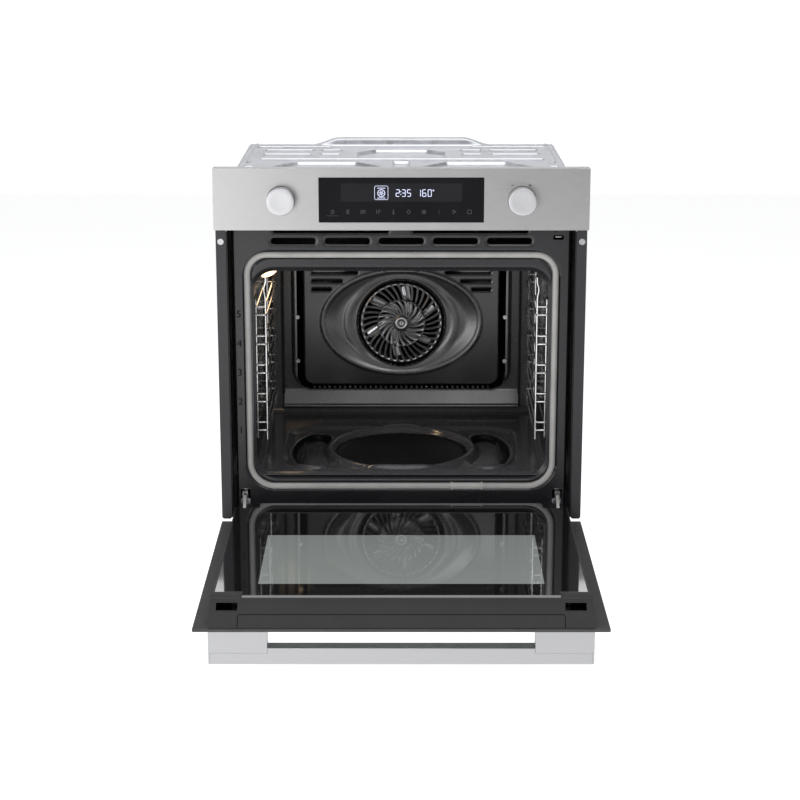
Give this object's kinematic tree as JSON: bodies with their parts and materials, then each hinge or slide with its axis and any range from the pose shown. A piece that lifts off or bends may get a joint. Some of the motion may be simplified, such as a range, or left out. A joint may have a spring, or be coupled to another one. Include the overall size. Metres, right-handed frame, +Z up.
{
  "type": "wall oven",
  "caption": "Built-in electric oven with drop-down glass door, bar handle, round knobs, central display, wire tray supports and rear fan.",
  "frame": {"origin": "middle of the base's underside, on the niche shelf", "axes": "+X to the right seen from the front, +Y to the back of the niche, +Z up"},
  "size_m": [0.594, 1.021, 0.654],
  "materials": {
    "galvanised_sheet": "galvanised steel, satin",
    "frame_enamel": "dark grey satin enamel",
    "cavity_enamel": "dark glossy enamel",
    "trim_paint": "dark grey satin paint",
    "panel_steel": "brushed stainless, fingerprint resistant",
    "knob_metal": "fine satin",
    "handle_aluminium": "satin anodised",
    "display_glass": "black tinted glass",
    "door_glass_front": "clear with dark printed border",
    "door_glass_inner": "heat-reflecting with dark border",
    "chrome_wire": "polished",
    "spring_steel": "zinc plated",
    "cap_metal": "satin",
    "seal_rubber": "grey silicone",
    "black_plastic": "fine grain",
    "trim_plastic": "satin",
    "board_green": "solder-mask green",
    "element_tube": "heat darkened",
    "lamp_glass": "heat-resistant dome",
    "lamp_bulb": "lit warm white",
    "mineral_wool": "matted fibre"
  },
  "bodies": {
    "oven": {"base_pan": "galvanised_sheet", "right_side_panel": "galvanised_sheet", "left_side_panel": "galvanised_sheet", "top_cover": "galvanised_sheet", "rear_panel": "galvanised_sheet", "terminal_cover": "black_plastic", "right_side_trim": "trim_paint", "left_side_trim": "trim_paint", "fixing_caps": "cap_metal", "casing_screws": "spring_steel", "front_frame": "frame_enamel", "door_seal": "seal_rubber", "cavity_wrapper": "cavity_enamel", "cavity_floor": "cavity_enamel", "cavity_rear_wall": "cavity_enamel", "fan_cover": "cavity_enamel", "fan_cover_screws": "spring_steel", "ring_element": "element_tube", "grill_element": "element_tube", "bottom_element": "element_tube", "lamp_housing": "spring_steel", "lamp_bulb": "lamp_bulb", "lamp_glass": "lamp_glass", "right_side_rack": "chrome_wire", "left_side_rack": "chrome_wire", "rack_studs": "spring_steel", "temperature_probe": "spring_steel", "insulation": "mineral_wool", "convection_motor": "galvanised_sheet", "blower_housing": "galvanised_sheet", "air_duct": "galvanised_sheet", "control_panel": "panel_steel", "display_glass": "display_glass", "panel_carrier": "black_plastic", "display_board": "board_green", "encoders": "black_plastic", "hinge_arms": "spring_steel", "hinge_receivers": "galvanised_sheet"},
    "door": {"hinge_channels": "galvanised_sheet", "door_outer_glass": "door_glass_front", "door_middle_glass": "door_glass_inner", "door_inner_glass": "door_glass_inner", "right_door_profile": "trim_paint", "left_door_profile": "trim_paint", "door_top_trim": "trim_plastic", "door_bottom_rail": "trim_paint", "glass_pads": "seal_rubber", "handle_bar": "handle_aluminium", "handle_brackets": "handle_aluminium", "handle_end_caps": "handle_aluminium", "handle_screws": "spring_steel"},
    "left_spindle": {"left_spindle": "spring_steel"},
    "right_spindle": {"right_spindle": "spring_steel"},
    "left_knob": {"left_knob": "knob_metal"},
    "right_knob": {"right_knob": "knob_metal"},
    "convection_fan": {"convection_fan": "spring_steel"},
    "blower_wheel": {"blower_wheel": "galvanised_sheet"},
    "lock_bolt": {"lock_bolt": "spring_steel"},
    "right_hinge_catch": {"right_hinge_catch": "spring_steel"},
    "left_hinge_catch": {"left_hinge_catch": "spring_steel"}
  },
  "joints": [
    {"name": "door_hinge", "type": "hinge", "parent": "oven", "child": "door", "pos_m": [0, -0.283, 0.016], "axis": [1, 0, 0], "range_deg": [-90, 0]},
    {"name": "left_knob_turn", "type": "hinge", "parent": "oven", "child": "left_spindle", "pos_m": [-0.19, -0.259, 0.544], "axis": [0, 1, 0], "continuous": true},
    {"name": "right_knob_turn", "type": "hinge", "parent": "oven", "child": "right_spindle", "pos_m": [0.19, -0.259, 0.544], "axis": [0, 1, 0], "continuous": true},
    {"name": "left_knob_push", "type": "slide", "parent": "left_spindle", "child": "left_knob", "axis": [0, 1, 0], "range_m": [0, 0.018], "stiffness_N_per_m": 250, "springref_m": -0.008},
    {"name": "right_knob_push", "type": "slide", "parent": "right_spindle", "child": "right_knob", "axis": [0, 1, 0], "range_m": [0, 0.018], "stiffness_N_per_m": 250, "springref_m": -0.008},
    {"name": "convection_fan_spin", "type": "hinge", "parent": "oven", "child": "convection_fan", "pos_m": [0, 0.148, 0.252], "axis": [0, 1, 0], "continuous": true},
    {"name": "blower_spin", "type": "hinge", "parent": "oven", "child": "blower_wheel", "pos_m": [0, 0.126, 0.503], "axis": [1, 0, 0], "continuous": true},
    {"name": "lock_bolt_slide", "type": "slide", "parent": "oven", "child": "lock_bolt", "axis": [0, -0.9011, -0.4337], "range_m": [0, 0.026]},
    {"name": "left_catch_flip", "type": "hinge", "parent": "oven", "child": "left_hinge_catch", "pos_m": [-0.259, -0.254, 0.037], "axis": [1, 0, 0], "range_deg": [0, 50]},
    {"name": "right_catch_flip", "type": "hinge", "parent": "oven", "child": "right_hinge_catch", "pos_m": [0.259, -0.254, 0.037], "axis": [1, 0, 0], "range_deg": [0, 50]}
  ]
}
